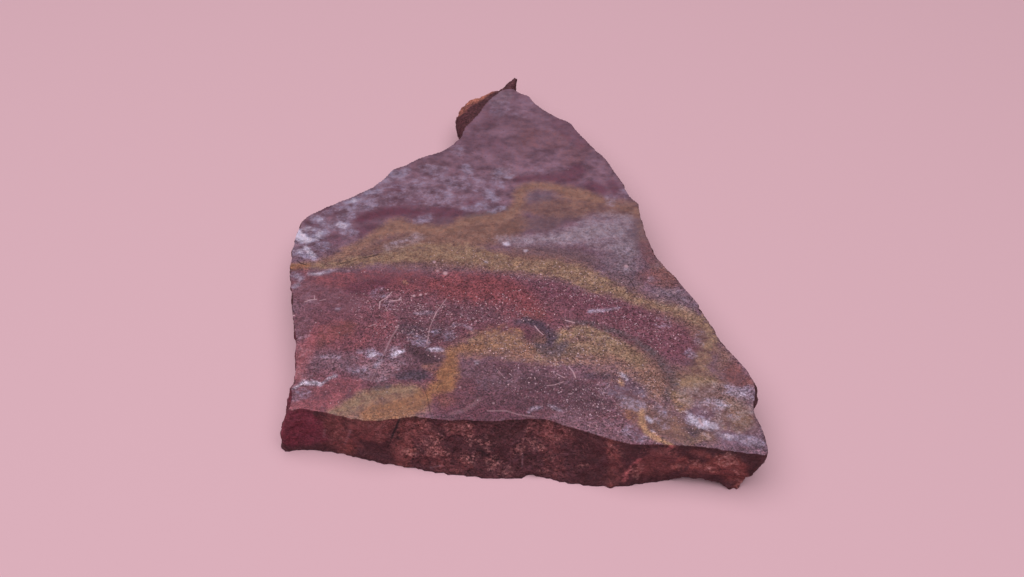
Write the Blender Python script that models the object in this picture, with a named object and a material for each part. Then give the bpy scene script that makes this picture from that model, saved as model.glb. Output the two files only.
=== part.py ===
"""Rhyolite slab: one slice of banded rhyolite with two flat sawn faces and a broken edge all round.

Run with: blender --background --python part.py
The slab lies flat, its pointed end to the back (+Y). Its origin is under the middle of its box.
"""

import math

import bmesh
import bpy
from mathutils import Vector, noise

MM = 0.001

# Driving dimensions, in millimetres
THICKNESS = 8.6  # between the two sawn faces
LEDGE_DEPTH = 1.8  # how far below the rim the ledge lies
STATIONS_PER_SPAN = 4  # wall stations from one rim point to the next
LEVELS = 10  # rows of faces from the rim down to the foot

# The broken wall
SCOOP_WIDTH = 6.0  # the usual distance between the hollows where flakes came off
SCOOP_DEPTH = 0.9
ROUGH_WIDTH = 2.4  # the lumps within a hollow
ROUGH_DEPTH = 0.35
RIM_JAG_WIDTH = 1.7  # small nicks along the rim, seen from above
RIM_JAG_DEPTH = 0.22
NOISE_PLACE = Vector((31.0, 7.0, 19.0))  # where in the endless noise this slab is cut from

# The rim of the upper face, anticlockwise from above. Each row holds the rim point's x and y,
# how far the ledge stands out from it, and how far to the right and to the back the foot lies.
FRONT_EDGE = (
    (-31.1, -31.2, 0.2, -2.6, -0.8),
    (-31.2, -32.4, 0.4, -2.2, -1.0),
    (-29.5, -32.2, 0.3, -0.9, -1.2),
    (-26.5, -32.8, 0.2, -0.3, -0.8),
    (-22.5, -33.8, 0.2, 0.0, -0.7),
    (-18.5, -34.1, 0.2, 0.0, -1.4),
    (-13.5, -33.5, 0.2, 0.0, -3.1),
    (-9.0, -34.0, 0.1, 0.0, -3.4),
    (-2.0, -34.1, 0.0, 0.0, -4.1),
    (3.5, -33.8, 0.0, 0.0, -4.1),
    (7.0, -34.7, 0.1, 0.0, -3.9),
    (11.5, -36.5, 0.2, 0.0, -2.9),
    (16.5, -38.0, 0.2, 0.0, -1.3),
    (22.5, -38.2, 0.3, 0.0, -0.2),
    (28.0, -38.8, 0.3, -0.5, -0.8),
    (33.0, -39.7, 0.2, -1.8, -0.1),
    (34.6, -39.7, 0.5, -2.7, 0.0),
)
RIGHT_EDGE = (
    (34.8, -38.3, 0.4, -2.5, 0.3),
    (34.5, -36.0, 0.4, -1.6, 0.0),
    (33.8, -32.6, 0.3, -0.8, 0.0),
    (34.3, -29.9, 0.3, -0.6, 0.0),
    (34.4, -26.6, 0.5, 0.1, 0.1),
    (32.2, -22.5, 0.6, 0.5, 0.3),
    (30.7, -20.0, 0.6, 0.6, 0.3),
    (29.1, -15.6, 0.5, 0.5, 0.2),
    (28.2, -13.6, 0.4, 0.4, 0.1),
    (28.2, -12.4, 0.4, 0.2, 0.2),
    (25.6, -7.6, 0.4, 0.0, 0.0),
    (22.9, -2.8, 0.3, -0.4, 0.0),
    (21.6, 2.4, 0.3, -0.3, 0.0),
    (20.9, 7.8, 0.2, -0.8, 0.0),
    (21.0, 9.4, 0.2, -1.0, -0.2),
    (19.6, 11.2, 0.3, -0.2, 0.3),
    (18.2, 15.6, 0.3, 0.6, 0.3),
    (16.1, 20.4, 0.4, 0.8, 0.6),
    (13.4, 24.4, 0.4, 0.7, 0.6),
    (11.2, 28.4, 0.4, 0.5, 0.6),
    (10.0, 30.4, 0.4, 0.4, 0.8),
    (7.2, 32.3, 0.4, 0.6, 1.2),
    (4.6, 34.9, 0.4, 0.8, 1.2),
    (3.2, 37.4, 0.4, 0.6, 1.0),
    (1.6, 38.6, 0.4, 0.5, 1.1),
    (0.5, 39.5, 0.6, 0.0, 1.2),
)
BACK_EDGE = (
    (0.1, 39.9, 0.8, -0.2, 0.6),
    (-0.9, 39.8, 1.0, -0.6, 1.0),
    (-2.1, 38.9, 2.4, -1.2, 1.4),
    (-3.2, 37.4, 3.2, -1.8, 1.8),
    (-4.1, 35.6, 4.2, -2.4, 1.6),
    (-5.3, 32.8, 4.5, -2.4, 1.2),
    (-6.8, 30.7, 4.0, -1.8, 1.0),
    (-8.2, 28.9, 1.2, -0.7, 1.2),
    (-8.9, 27.0, 0.0, -0.2, 0.6),
    (-9.9, 25.0, 0.1, -0.6, 0.8),
    (-12.2, 22.4, 0.3, -0.8, 1.3),
    (-15.5, 21.0, 0.3, -0.6, 1.2),
    (-18.0, 18.9, 0.3, -0.8, 1.0),
    (-20.2, 17.8, 0.3, -0.9, 0.9),
    (-22.0, 15.0, 0.3, -0.9, 0.6),
    (-24.0, 13.0, 0.3, -0.6, 0.8),
    (-26.8, 10.9, 0.3, -0.5, 0.9),
    (-30.0, 8.9, 0.3, -0.6, 0.8),
    (-32.7, 7.0, 0.3, -0.8, 0.6),
)
LEFT_EDGE = (
    (-34.1, 4.9, 0.3, -0.8, 0.4),
    (-34.8, 2.0, 0.2, -0.6, 0.0),
    (-34.9, -2.5, 0.1, -0.3, 0.0),
    (-34.6, -6.8, 0.1, 0.2, 0.0),
    (-33.8, -10.3, 0.1, 0.3, 0.0),
    (-33.0, -15.2, 0.1, 0.1, 0.0),
    (-31.9, -20.2, 0.1, -0.1, 0.0),
    (-31.2, -25.0, 0.1, -0.6, 0.0),
    (-31.3, -28.4, 0.2, -1.6, -0.2),
)

# The thorn of stone that stands out at the point
THORN_ROOT = (-1.6, 39.8, 5.0)
THORN_TIP = (0.6, 44.5, 7.4)
THORN_ROOT_RADIUS = 2.5
THORN_TIP_RADIUS = 0.25
THORN_STEEPNESS = 1.3  # its height as a share of its width

# Flakes knocked off the foot and the rim: the middle of each, its size and its turn about Z
FLAKES = (
    ("flake_under_right", (25.2, -40.4, -0.6), (5.6, 2.8, 2.5), 4.0),
    ("flake_under_middle", (2.6, -38.7, -0.5), (1.3, 1.4, 2.0), 12.0),
    ("flake_under_corner", (-35.0, -34.9, -0.4), (2.6, 2.8, 3.0), 40.0),
    ("flake_rim_right", (35.4, -32.4, 9.6), (1.5, 2.2, 2.4), 0.0),
    ("flake_rim_nick", (29.4, -13.0, 9.4), (1.2, 1.0, 2.6), 20.0),
    ("flake_rim_back", (8.8, 33.4, 10.2), (2.4, 2.0, 2.6), -38.0),
)


def clear_scene():
    for old in list(bpy.data.objects):
        bpy.data.objects.remove(old, do_unlink=True)


def new_collection(name):
    made = bpy.data.collections.new(name)
    bpy.context.scene.collection.children.link(made)
    return made


def put_in(collection, obj):
    for holder in list(obj.users_collection):
        holder.objects.unlink(obj)
    collection.objects.link(obj)


def through(before, start, end, after, share):
    """A point of the smooth curve from start to end, which lines up with its neighbours."""
    square, cube = share**2, share**3
    return 0.5 * (
        2 * start
        + (end - before) * share
        + (2 * before - 5 * start + 4 * end - after) * square
        + (3 * start - before - 3 * end + after) * cube
    )


def stations():
    """Closely spaced wall stations, each as (rim point, ledge reach, lean of the foot)."""
    rows = [Vector(row[:2] + (0,)) for row in RIM]
    reaches = [row[2] for row in RIM]
    leans = [Vector(row[3:] + (0,)) for row in RIM]
    found = []
    for i in range(len(RIM)):
        around = [(i + step) % len(RIM) for step in (-1, 0, 1, 2)]
        for k in range(STATIONS_PER_SPAN):
            share = k / STATIONS_PER_SPAN
            found.append(
                (
                    through(*(rows[j] for j in around), share),
                    through(*(reaches[j] for j in around), share),
                    through(*(leans[j] for j in around), share),
                )
            )
    return found


def outward(places, i):
    """The direction out of the slab at station i, in plan."""
    along = places[(i + 1) % len(places)] - places[i - 1]
    return Vector((along.y, -along.x, 0)).normalized()


def scooped(point):
    """How far out the broken wall stands at a point: hollows with sharp ridges between them."""
    nearest = noise.voronoi((point + NOISE_PLACE) / SCOOP_WIDTH)[0][0]
    lumps = noise.fractal((point - NOISE_PLACE) / ROUGH_WIDTH, 0.9, 2.1, 3)
    return SCOOP_DEPTH * (nearest**2 - 0.35) + ROUGH_DEPTH * lumps


def wall_column(rim, reach, lean, out):
    """The points from rim to foot at one station, top first."""
    column = []
    ledge_share = LEDGE_DEPTH / THICKNESS
    for level in range(LEVELS + 1):
        share = level / LEVELS
        down = rim + lean * share
        # The ledge swells out and dies away again towards the foot.
        if share < ledge_share:
            swell = reach * math.sin(share / ledge_share * math.pi / 2)
        else:
            fading = (share - ledge_share) / (1 - ledge_share)
            swell = reach * math.cos(fading * math.pi / 2)
        point = down + out * swell + Vector((0, 0, THICKNESS * (1 - share)))
        grip = math.sin(share * math.pi) ** 0.5 if 0 < level < LEVELS else 0
        column.append(point + out * scooped(point) * grip)
    return column


def build_slab(collection):
    found = stations()
    plan = [rim for rim, _, _ in found]
    columns = []
    for i, (rim, reach, lean) in enumerate(found):
        out = outward(plan, i)
        jag = RIM_JAG_DEPTH * noise.fractal((rim + NOISE_PLACE) / RIM_JAG_WIDTH, 1.0, 2.0, 2)
        columns.append(wall_column(rim + out * jag, reach, lean, out))

    bm = bmesh.new()
    grid = [[bm.verts.new(point * MM) for point in column] for column in columns]
    for i, column in enumerate(grid):
        beside = grid[(i + 1) % len(grid)]
        for level in range(LEVELS):
            bm.faces.new((column[level], column[level + 1], beside[level + 1], beside[level]))
    bm.faces.new([column[0] for column in grid])
    bm.faces.new([column[-1] for column in reversed(grid)])
    bmesh.ops.recalc_face_normals(bm, faces=bm.faces)
    mesh = bpy.data.meshes.new("slab")
    bm.to_mesh(mesh)
    bm.free()
    slab = bpy.data.objects.new("slab", mesh)
    collection.objects.link(slab)
    slab.data.materials.append(stone_material())
    return slab


def stone_material():
    stone = bpy.data.materials.new("rhyolite")
    stone.use_nodes = True
    shader = stone.node_tree.nodes["Principled BSDF"]
    shader.inputs["Base Color"].default_value = (0.19, 0.09, 0.10, 1)
    shader.inputs["Roughness"].default_value = 0.55
    shader.inputs["Metallic"].default_value = 0
    return stone


def grow_thorn(slab, collection):
    root, tip = Vector(THORN_ROOT), Vector(THORN_TIP)
    along = tip - root
    bpy.ops.mesh.primitive_cone_add(
        vertices=9,
        radius1=THORN_ROOT_RADIUS * MM,
        radius2=THORN_TIP_RADIUS * MM,
        depth=along.length * MM,
        location=(root + tip) / 2 * MM,
        rotation=along.to_track_quat("Z", "Y").to_euler(),
        scale=(1, THORN_STEEPNESS, 1),
    )
    thorn = bpy.context.object
    thorn.name = "thorn"
    thorn.hide_render = True
    thorn.display_type = "WIRE"
    put_in(collection, thorn)
    join = slab.modifiers.new("thorn", "BOOLEAN")
    join.operation = "UNION"
    join.solver = "EXACT"
    join.object = thorn


def knock_off_flakes(slab, collection):
    for name, middle, size, turn in FLAKES:
        bpy.ops.mesh.primitive_uv_sphere_add(
            segments=20,
            ring_count=12,
            radius=MM,
            location=[c * MM for c in middle],
            rotation=(0, 0, math.radians(turn)),
            scale=size,
        )
        flake = bpy.context.object
        flake.name = name
        flake.hide_render = True
        flake.display_type = "WIRE"
        put_in(collection, flake)
        cut = slab.modifiers.new(name, "BOOLEAN")
        cut.operation = "DIFFERENCE"
        cut.solver = "EXACT"
        cut.object = flake


def stand_on_origin(slab, cutters):
    """Moves slab and cutters so that the slab's box stands on the origin."""
    bpy.context.view_layer.update()
    shape = slab.evaluated_get(bpy.context.evaluated_depsgraph_get()).to_mesh()
    xs, ys = ([v.co[axis] for v in shape.vertices] for axis in (0, 1))
    shift = Vector((-(min(xs) + max(xs)) / 2, -(min(ys) + max(ys)) / 2, 0))
    for obj in (slab, *cutters.objects):
        obj.location += shift


RIM = FRONT_EDGE + RIGHT_EDGE + BACK_EDGE + LEFT_EDGE


def main():
    clear_scene()
    parts = new_collection("rhyolite_slab")
    cutters = new_collection("cutters")
    slab = build_slab(parts)
    grow_thorn(slab, cutters)
    knock_off_flakes(slab, cutters)
    stand_on_origin(slab, cutters)


main()
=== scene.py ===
import math
from types import SimpleNamespace

import bpy
import numpy as np
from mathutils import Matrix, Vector, noise


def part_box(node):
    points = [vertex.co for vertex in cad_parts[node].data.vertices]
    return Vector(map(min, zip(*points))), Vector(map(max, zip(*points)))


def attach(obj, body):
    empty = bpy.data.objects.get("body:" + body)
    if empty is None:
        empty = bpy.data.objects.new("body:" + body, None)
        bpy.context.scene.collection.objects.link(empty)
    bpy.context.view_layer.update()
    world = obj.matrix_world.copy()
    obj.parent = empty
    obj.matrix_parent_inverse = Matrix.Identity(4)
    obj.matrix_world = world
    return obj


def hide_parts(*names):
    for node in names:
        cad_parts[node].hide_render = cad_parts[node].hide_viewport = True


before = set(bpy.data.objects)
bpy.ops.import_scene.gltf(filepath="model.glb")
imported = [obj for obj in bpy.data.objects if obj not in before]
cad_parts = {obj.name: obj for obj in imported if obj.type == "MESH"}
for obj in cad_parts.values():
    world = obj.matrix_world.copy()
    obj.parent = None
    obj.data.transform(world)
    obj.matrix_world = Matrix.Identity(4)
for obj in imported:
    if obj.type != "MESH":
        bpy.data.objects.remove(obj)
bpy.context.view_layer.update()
mm = 0.001

# All that a user would change about the stone is in this dictionary, which is filled in further down beside
# the code that uses it. Places are in mm on a drawing of the upper face: x to the right, y to the back. The
# drawing's zero lies a little off the middle of the stone's box.
stone = {
    "node": "slab",
    "slot": "rhyolite",
    "middleOnDrawing": (-0.147, 2.21),  # where the middle of the box falls on the drawing
    "voxel": 0.30,  # mesh fineness, mm
    "facesKept": 190000,
    "sharpAngle": 38,  # edges sharper than this stay crisp, degrees
    "tableGap": 0.02,  # what lies lower than this rests on the table, mm
    "undersideLevel": 0.98,  # and faces straight down, as the normal's share
    "sawnLevel": 0.97,  # what faces up or down more than this is sawn and stays flat
    "roughAbove": (0.1, 0.8),  # the edge grows rough between these heights above the underside, mm
    "roughBelow": (0.1, 0.6),  # and between these depths below the upper face
    "roughAtRim": 0.25,  # how much of it is left at the very rim, sideways
    "chipDepth": 0.4,
    "chipWidth": 2.6,
    "chipRim": 0.5,  # where a chip's hollow levels out, as a share of its width
    "chipLevel": 0.15,  # chips deeper than this go in, the rest stands out
    "lumpDepth": 0.16,
    "lumpScale": 1.3,
    "lumpFractal": (0.8, 2.0, 3),  # how the finer lumps weaken, how much finer they are, and how many steps
    "gritDepth": 0.12,
    "gritScale": 0.45,
    "footSpread": 0.14,  # how far the foot stands out
    "footHeight": 1.0,
    "footSlope": (0.1, 0.6),  # only steep places spread
    # places where the edge stands out or is knocked in: x, y, height, reach, push
    "knocks": (
        (34.0, -41.2, 1.3, 1.5, 0.7),
        (33.8, -41.2, 0.2, 1.0, -0.4),
        (14.0, -41.2, 0.2, 1.0, 0.5),
    ),
}


def bakeModifiers(obj):
    shape = obj.evaluated_get(bpy.context.evaluated_depsgraph_get())
    done = bpy.data.meshes.new_from_object(shape)
    obj.modifiers.clear()
    obj.data = done


def stoneMesh():
    # the plain stone, remeshed finely enough to carry the bands and the crumbly edge
    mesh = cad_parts[stone["node"]].data.copy()
    mesh.materials.clear()
    obj = bpy.data.objects.new("rhyolite_stone", mesh)
    bpy.context.scene.collection.objects.link(obj)
    remesh = obj.modifiers.new("remesh", "REMESH")
    remesh.mode = "VOXEL"
    remesh.voxel_size = stone["voxel"] * mm
    bakeModifiers(obj)
    return obj


def vertexArray(mesh, what="co"):
    values = np.empty(len(mesh.vertices) * 3, np.float32)
    mesh.vertices.foreach_get(what, values)
    return values.reshape(-1, 3).astype(float)


def smoothStep(low, high, values):
    share = np.clip((values - low) / (high - low), 0, 1)
    return share * share * (3 - 2 * share)


def crumbleEdge(obj, top):
    # chips, lumps and grit on the broken edge; the sawn faces stay flat
    places = vertexArray(obj.data) / mm
    normals = vertexArray(obj.data, "normal")
    grip = smoothStep(*stone["roughAbove"], places[:, 2])
    grip *= smoothStep(*stone["roughBelow"], top - places[:, 2])
    sideways = stone["roughAtRim"] + (1 - stone["roughAtRim"]) * grip
    for i in np.nonzero(np.abs(normals[:, 2]) < stone["sawnLevel"])[0]:
        point = Vector(places[i])
        nearest, second = noise.voronoi(point / stone["chipWidth"])[0][:2]
        push = (
            stone["chipDepth"] * (min(second - nearest, stone["chipRim"]) - stone["chipLevel"])
            + stone["lumpDepth"] * noise.fractal(point / stone["lumpScale"], *stone["lumpFractal"])
            + stone["gritDepth"] * noise.noise(point / stone["gritScale"])
        )
        places[i] += normals[i] * push * (sideways[i], sideways[i], grip[i])
    spreadFoot(places, normals * (1, 1, 0))
    height = places[:, 2]
    height[height > top - stone["voxel"] / 2] = top
    height[height < stone["voxel"] / 2] = 0
    obj.data.vertices.foreach_set("co", (places * mm).astype(np.float32).ravel())
    obj.data.update()


def spreadFoot(places, outward):
    # the foot stands out a little, and the knocks push the edge out or in
    steep = smoothStep(*stone["footSlope"], np.abs(outward).sum(1))
    low = 1 - smoothStep(0, stone["footHeight"], places[:, 2])
    places += outward * stone["footSpread"] * steep[:, None] * low[:, None]
    for x, y, z, reach, push in stone["knocks"]:
        away = np.linalg.norm(places - (x, y, z), axis=1)
        places += outward * (push * (1 - smoothStep(0, reach, away)))[:, None]


def thinUnderside(obj):
    # fewer faces where the stone lies on the table
    low = obj.vertex_groups.new(name="underside")
    onTable = vertexArray(obj.data)[:, 2] < stone["tableGap"] * mm
    facingDown = vertexArray(obj.data, "normal")[:, 2] < -stone["undersideLevel"]
    low.add([int(i) for i in np.nonzero(onTable & facingDown)[0]], 1.0, "REPLACE")
    thin = obj.modifiers.new("thin", "DECIMATE")
    thin.ratio = min(1, stone["facesKept"] / sum(len(p.vertices) - 2 for p in obj.data.polygons))
    thin.vertex_group = "underside"
    bakeModifiers(obj)
    obj.vertex_groups.clear()


# Each mineral is laid over the ones before it. Its tone is the colour as seen on the polished face, its edge
# is how soft the border is in mm, and ragged is how broken up that border is. A stroke is its strength, then
# the points of its middle line as (x, y, half width).
stone["minerals"] = {
    "wine": {"tone": (121, 79, 90), "edge": 2.6, "ragged": 0.5, "strokes": (
        (1.0, (-34, -9, 3), (-26, -11, 4.5), (-14, -12, 6), (0, -13, 6.5), (10, -14.5, 5), (18, -17, 5),
         (24, -20, 4.5)),
        (1.0, (-31, -18, 4), (-24, -18, 6), (-14, -18, 5), (-4, -19, 4)),
        (1.0, (-31, -28, 4), (-24, -28, 4), (-16, -28, 4), (-8, -29, 5), (4, -30, 6), (12, -32, 5),
         (17, -36, 3)),
        (1.0, (-33, -32.5, 1.5), (-24, -34, 1.5), (-10, -34.8, 1.2), (4, -35, 1.2), (12, -37.5, 1.5)),
    )},
    "dusk": {"tone": (98, 70, 80), "edge": 1.6, "ragged": 0.6, "strokes": (
        (0.9, (-6.8, -25.6, 1.5), (-3, -26.3, 2.2), (2, -27, 2.6), (7, -28.6, 2.6), (11, -30.2, 2.3),
         (13, -31.5, 1.6)),
        (0.75, (-16, -17.6, 1.2), (-14, -18, 2.2), (-10, -18, 1.8)),
        (0.55, (-9.5, -13.4, 1), (-6, -14, 1.3), (-2.5, -14.8, 1)),
        (0.6, (-13.8, 5, 0.3), (-9.4, 5.2, 0.4)),
        (0.8, (-6, -29.5, 1.2), (-3, -30.3, 2), (3, -31, 1.8), (9, -31.5, 1.8), (12.5, -32.5, 1)),
        (0.5, (-16, -14.5, 1.2), (-12, -15, 1)),
        (0.6, (-14.5, -24, 1.2), (-13.5, -21.5, 1.4)),
        (0.5, (-8, -33.4, 0.6), (-2, -33.6, 0.7), (4, -33.8, 0.6)),
        (0.3, (-3.4, 30.6, 1.4), (-1.2, 30, 1)),
        (0.5, (-7.4, -28.4, 0.8), (-6.6, -31, 1)),
    )},
    "haze": {"tone": (124, 91, 103), "edge": 1.6, "ragged": 0.7, "strokes": (
        (0.8, (-28, -23.3, 1.4), (-24.5, -24, 1.8), (-21, -25, 1.6), (-18, -26.3, 1.3)),
        (0.4, (-33, -12, 1), (-31.5, -9, 1.5), (-30, -8, 1)),
        (0.35, (-27, -10.5, 1.6), (-25, -12, 1)),
        (0.4, (-30.5, -22, 1), (-31, -26.5, 0.8)),
        (0.25, (-20, -10.8, 0.8), (-17, -11, 0.8)),
        (0.5, (-16.5, -23.5, 1), (-18, -22, 0.8)),
        (0.5, (7, -25.4, 1), (10, -26, 1.3), (12, -25.2, 0.9)),
        (0.7, (6, -33.6, 0.6), (8, -34, 1), (12, -35.3, 1.4), (15.5, -36, 1.6)),
        (0.5, (-6, -25, 1), (-3, -26.6, 1.4), (-2, -28.2, 0.8), (4, -25, 0.8)),
        (0.9, (25, -30, 1), (27.5, -30.6, 2), (30, -33, 1.8), (32.5, -34.5, 2)),
        (0.7, (13.5, -29, 1), (16, -30, 1.6), (18.5, -31.5, 1.2), (16, -33, 1.2)),
        (0.5, (20.8, -32.5, 0.8), (22, -35, 0.9)),
        (0.6, (1.6, 30, 1.2), (2, 25, 1.4), (2, 22, 1)),
        (0.4, (-15.5, 18.6, 0.8), (-12.6, 19, 1)),
        (0.4, (-31.2, -17, 1), (-31, -19.6, 0.8)),
    )},
    "smoke": {"tone": (117, 95, 107), "edge": 2.2, "ragged": 0.5, "strokes": (
        (0.9, (20, 5, 1.6), (19, 0, 2.6), (17, -4, 3.2), (17.5, -8, 1.8)),
        (0.9, (23, -10.5, 1.6), (26, -12, 1.6)),
        (0.8, (3, 11, 1), (5.5, 10.8, 1.4)),
    )},
    "greyBrown": {"tone": (111, 86, 94), "edge": 1.3, "ragged": 0.6, "strokes": (
        (0.9, (0.5, -1, 0.6), (4, -1.2, 0.9), (8, -2, 1.5), (12, -4, 1.8)),
        (0.8, (2.5, 4.5, 1.4), (5, 4.5, 1.8), (8, 5.8, 1.2), (11, 6.8, 0.8)),
        (0.6, (16, -7.5, 1.3), (18.5, -8.5, 1.3)),
    )},
    "umber": {"tone": (126, 93, 89), "edge": 1.6, "ragged": 0.6, "strokes": (
        (0.95, (-29, -3.6, 0.6), (-24, -1.8, 1.2), (-18, 0.6, 2), (-12, 1.4, 2.8), (-6, 2, 3.2),
         (-1, 3.6, 2.6), (1, 5.5, 1.2)),
        (0.7, (2.5, 8.4, 1), (6, 8.2, 1.8), (10, 8.8, 2.2), (14, 8.8, 1.8), (18.5, 7.8, 1.4), (21, 7, 1)),
        (0.9, (-30, -4.5, 0.6), (-20, -3, 1.6), (-10, -3, 2.2), (-3, -3.5, 2.4), (3, -4.2, 2.4),
         (9, -6, 2.2), (14, -9, 1.6), (19, -11.5, 1.2), (24, -14, 1.4), (27.5, -17, 1.6), (28.5, -21, 1.2),
         (27, -25, 1.6)),
        (0.9, (-9, -22, 1), (-4, -20.5, 2), (2, -21, 2.2), (8, -21, 2.6), (14, -21.5, 2.6), (19, -24, 2.4),
         (21.5, -28, 2.4)),
        (0.9, (24, -26.5, 2), (27, -28, 3), (30, -30.5, 2.6), (31.5, -33.5, 2.4)),
        (0.85, (16.5, -31, 1), (19, -33, 1.8), (22, -35.5, 2.2), (27, -37, 1.2)),
        (0.55, (21.3, 5, 0.8), (21.5, 0, 0.6), (22.5, -4, 0.9), (24, -7.5, 1.2)),
        (0.75, (29.6, -20.6, 1), (31, -23, 1.2), (30, -25, 1)),
        (0.5, (12.4, -24.8, 0.8), (15, -26.2, 1)),
        (0.5, (21.4, -30, 1), (23, -33, 1)),
    )},
    "brick": {"tone": (124, 80, 80), "edge": 1.0, "ragged": 0.6, "strokes": (
        (0.5, (20.5, -7, 1), (22.5, -7.3, 1.4), (24.5, -8, 1)),
        (0.7, (32.2, -24.4, 0.6), (31.8, -25.8, 1.4), (32.4, -27, 1.5), (33.8, -27.6, 1)),
        (0.3, (4, 26, 2), (8, 25.5, 1.6)),
        (0.3, (10, 21, 1.6), (12, 23, 1.2)),
        (0.8, (-10.3, -29.6, 0.7), (-9.3, -30.6, 1.1), (-9.4, -31.6, 0.7)),
        (0.8, (2.2, -14.6, 0.6), (4, -14.6, 0.8)),
        (0.85, (-28.4, -20.4, 0.8), (-27.2, -18.4, 1.3), (-24.5, -17.6, 1.2)),
        (0.2, (-7.4, -28.6, 1.2), (-6, -32.4, 1.2)),
        (0.35, (16.3, -33, 0.5)),
    )},
    "red": {"tone": (127, 73, 79), "edge": 1.5, "ragged": 0.9, "strokes": (
        (0.8, (-12, -8.6, 1.6), (-8, -9.2, 2.6), (-3, -9.7, 2.6), (1, -11.2, 2), (3.2, -13.4, 1.2)),
        (0.55, (-29, -7.6, 0.9), (-23, -8, 1.6), (-17, -8.2, 1.8), (-12, -8.6, 1.6)),
        (0.35, (-28.2, -18.2, 0.9), (-26, -18.8, 1.7), (-23.5, -19.5, 1.3), (-20, -17.6, 0.8)),
        (0.4, (-0.5, -13.4, 1), (2, -14.2, 1.1), (4.6, -15, 0.8)),
    )},
    "maroon": {"tone": (103, 64, 78), "edge": 1.2, "ragged": 0.7, "strokes": (
        (0.6, (1, 15.5, 0.5), (4, 15.6, 0.6), (8, 15.6, 1), (10.5, 16.6, 1.4), (11, 18, 0.8)),
        (0.6, (13.5, 13.5, 1), (15, 12.8, 1)),
        (0.8, (-25, 5.5, 1), (-23, 6.6, 1), (-19, 7.4, 1.1), (-15.5, 7.3, 0.8)),
        (0.6, (-24.5, 3, 1), (-22.5, 3.8, 0.8)),
        (0.45, (-19, 9.5, 1.2), (-16, 9.6, 1)),
        (0.8, (-20, 13.6, 0.8), (-18.9, 13.2, 0.6)),
        (0.8, (-32.9, 5, 0.5), (-32.2, 4.5, 0.4)),
        (0.7, (-30.5, 8.3, 0.6), (-29.5, 7.4, 0.6)),
        (0.35, (-30, 0.6, 0.6), (-28.3, 1.2, 0.8)),
        (0.7, (-7, 9.6, 0.5), (-6.4, 9.4, 0.3)),
        (0.25, (-3, 13, 0.8)),
        (0.25, (-8, 25, 1.5), (-3, 24, 1.5)),
        (0.25, (-6, 30, 1.5), (-4, 32, 1)),
        (0.6, (-9.6, 29, 0.7), (-9.4, 31.5, 0.8), (-8.8, 33.6, 0.6)),
        (0.6, (-24.5, -9.4, 0.8), (-22, -9.2, 1.2), (-20, -8.4, 1)),
        (0.75, (2, -18.2, 0.6), (2.5, -19.3, 0.7)),
        (0.6, (-15.5, 7, 1.1), (-12, 7.4, 1.2), (-8.6, 7.2, 0.8)),
        (0.4, (4, -9, 1), (9, -11.5, 1.4), (14, -13, 1.4), (20, -15.5, 1.2)),
        (0.3, (18, -20, 0.8), (22, -20.5, 1.2), (24.5, -22.5, 1.2)),
        (0.4, (-29.5, -34, 1), (-24, -27, 0.8)),
        (0.5, (-9.5, -33, 0.8), (-4, -33, 1), (1, -33, 0.8)),
        (0.25, (-7, -29.5, 1.2), (-3, -31, 1.5), (5, -30.5, 1.5)),
        (0.3, (8, 14, 1), (10, 13.6, 1)),
        (0.35, (8.6, 30, 1), (10.6, 27.6, 1.2), (12.4, 24.4, 1)),
        (0.6, (16.8, 14.2, 0.6), (17.2, 12.6, 0.5)),
        (0.4, (21.2, -0.5, 0.6), (21.8, -3.2, 0.6)),
    )},
    "ochre": {"tone": (141, 105, 96), "edge": 1.0, "ragged": 0.6, "strokes": (
        (0.85, (-34, -4.9, 0.4), (-31, -4, 0.5), (-28, -2.8, 0.8), (-25, -0.8, 0.9), (-22.5, 1.2, 0.9),
         (-20.5, 3, 1.3), (-18.5, 4, 1.7), (-15, 3.6, 1.2), (-12, 3.2, 0.8), (-9.5, 3.4, 0.8),
         (-7.5, 5, 1.1), (-5, 5.8, 1.3), (-2, 6.2, 1.2), (0, 7.2, 1.1), (1, 9, 0.9), (1.3, 11.2, 0.9),
         (2.2, 13, 1), (4.5, 13.6, 0.8), (7, 13.2, 1), (9, 12.2, 1.4), (12, 11.3, 1.4),
         (14.5, 10.4, 0.9)),
        (0.5, (14.5, 10.4, 0.6), (17, 9.6, 0.6), (18.5, 9.2, 1.1), (20.6, 8.4, 1.3)),
        (0.4, (9.5, 10.5, 1.5), (12.5, 9, 1.2)),
        (0.4, (-16, 1, 1), (-10, 0.6, 1), (-6, 1.6, 1.2), (-4, 3.6, 1)),
        (0.9, (-24, -33.2, 0.5), (-21, -32.6, 1.2), (-18, -32, 2.2), (-15, -31.6, 2.2),
         (-13, -31.4, 1.5)),
        (0.9, (-22, -34, 1), (-18, -34.2, 1.2), (-14, -33.8, 1.2)),
        (0.5, (-8.5, -22, 0.6), (-5, -21.6, 0.8), (-2, -21.8, 1), (2, -22.8, 0.9), (6, -23.2, 0.8),
         (10, -23, 0.8), (14, -23, 1.2), (17, -24.5, 1.6), (19.5, -26.5, 1.4), (20.5, -29, 1)),
        (0.4, (31.5, -31.8, 0.7), (32.5, -33.4, 0.6)),
    )},
    "olive": {"tone": (143, 113, 97), "edge": 0.9, "ragged": 1.0, "strokes": (
        (0.65, (-34, -5.2, 0.3), (-30, -4.6, 0.4), (-26, -3.9, 0.6), (-22, -3.2, 1), (-18, -2.2, 1.5),
         (-13, -1.9, 1.7), (-9, -2, 1.7), (-5, -2.8, 1.6), (-2, -3.8, 1.2), (2, -4.6, 1), (6, -5.2, 1.3),
         (10, -6.6, 1.5), (13, -8.2, 1.5), (15.5, -9.7, 1), (18, -11, 0.7), (21, -12.4, 0.5),
         (24, -13.6, 0.5), (26.5, -14.8, 0.8), (28.3, -15.8, 0.9)),
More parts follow.
